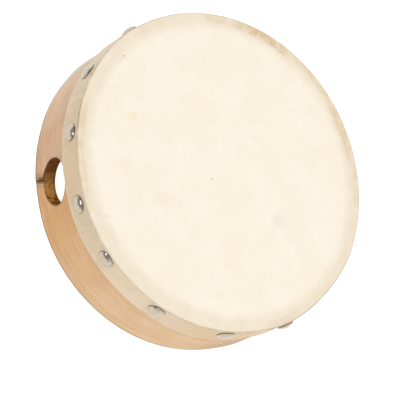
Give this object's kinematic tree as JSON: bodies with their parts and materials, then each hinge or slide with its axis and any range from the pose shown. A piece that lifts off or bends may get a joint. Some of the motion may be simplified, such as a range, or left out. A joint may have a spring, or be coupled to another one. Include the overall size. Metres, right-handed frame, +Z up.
{
  "type": "tamborim",
  "caption": "Hand drum: a hide head nailed over one end of a bent-wood hoop that is open at the back, held by a thumb hole through the hoop's joint.",
  "frame": {"origin": "centre of the hoop's open rim, which the drum rests on", "axes": "+Z up through the hoop to the skin; the thumb hole faces -Y"},
  "size_m": [0.2054, 0.2043, 0.0555],
  "materials": {
    "bent_wood": "bare sanded pale beech-like wood with a faint satin sheen",
    "hide": "natural cream hide, matt, slightly translucent and stained tan along its fold",
    "nickel": "bright nickel plating"
  },
  "bodies": {
    "root": {"hoop": "bent_wood", "skin": "hide", "nail_01": "nickel", "nail_02": "nickel", "nail_03": "nickel", "nail_04": "nickel", "nail_05": "nickel", "nail_06": "nickel", "nail_07": "nickel", "nail_08": "nickel", "nail_09": "nickel", "nail_10": "nickel", "nail_11": "nickel", "nail_12": "nickel", "nail_13": "nickel", "nail_14": "nickel", "nail_15": "nickel"}
  },
  "joints": []
}
